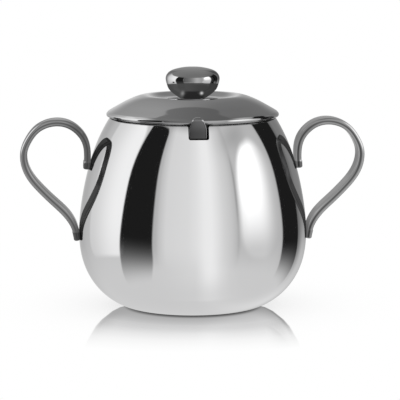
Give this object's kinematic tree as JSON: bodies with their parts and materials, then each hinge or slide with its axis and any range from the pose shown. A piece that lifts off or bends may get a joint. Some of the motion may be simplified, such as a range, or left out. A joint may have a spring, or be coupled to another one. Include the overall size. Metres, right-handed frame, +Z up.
{
  "type": "sugar bowl",
  "caption": "Round-bellied polished metal sugar bowl with looped strap handles on both sides, a notched mouth, and a lift-off lid with a locating tongue and a turned knob.",
  "frame": {"origin": "centre of the base's contact ring, on the table", "axes": "+X through the two handles, -Y towards the mouth's notch and the lid's tongue, +Z up out of the mouth"},
  "size_m": [0.1588, 0.105, 0.1104],
  "materials": {
    "bowl_polish": "mirror-polished steel with faint buffing marks",
    "handle_polish": "polished bent strap",
    "lid_polish": "mirror-polished pressed lid",
    "knob_polish": "mirror-polished turned knob",
    "inner_steel": "satin, turned",
    "fastener_steel": "plain bright steel"
  },
  "bodies": {
    "bowl": {"bowl_body": "bowl_polish", "handle_left": "handle_polish", "handle_right": "handle_polish"},
    "lid": {"lid_shell": "lid_polish", "lid_ring": "inner_steel", "lid_tongue": "lid_polish", "lid_knob": "knob_polish", "knob_washer": "fastener_steel", "knob_screw": "fastener_steel"}
  },
  "joints": [
    {"name": "lid_lift", "type": "slide", "parent": "bowl", "child": "lid", "axis": [0, 0, 1], "range_m": [0, 0.06]}
  ]
}
